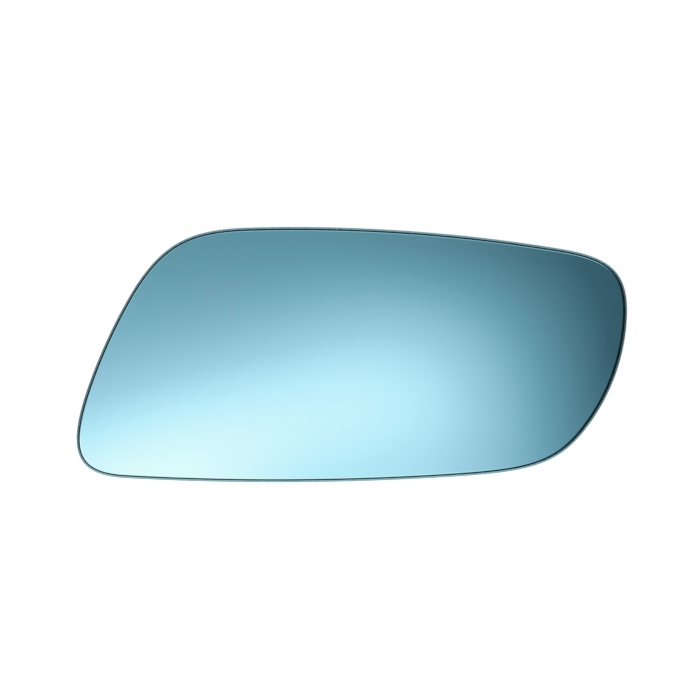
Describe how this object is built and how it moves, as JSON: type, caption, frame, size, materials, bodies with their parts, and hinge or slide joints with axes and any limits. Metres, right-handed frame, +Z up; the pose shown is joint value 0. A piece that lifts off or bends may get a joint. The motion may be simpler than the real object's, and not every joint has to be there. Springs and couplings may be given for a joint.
{
  "type": "car door mirror glass",
  "caption": "Convex blue-tinted mirror pane for a car door mirror, with bowed sides, rounded corners and a ground pencil edge.",
  "frame": {"origin": "on the surface the pane lies on, under the middle of its outline", "axes": "+X along its length, +Y towards its upper side in use, +Z up, out of the reflecting face"},
  "size_m": [0.1818, 0.0844, 0.0059],
  "materials": {
    "mirror_glass": "blue anti-glare mirror coating, ground edge, painted back"
  },
  "bodies": {
    "root": {"mirror_glass": "mirror_glass"}
  },
  "joints": []
}
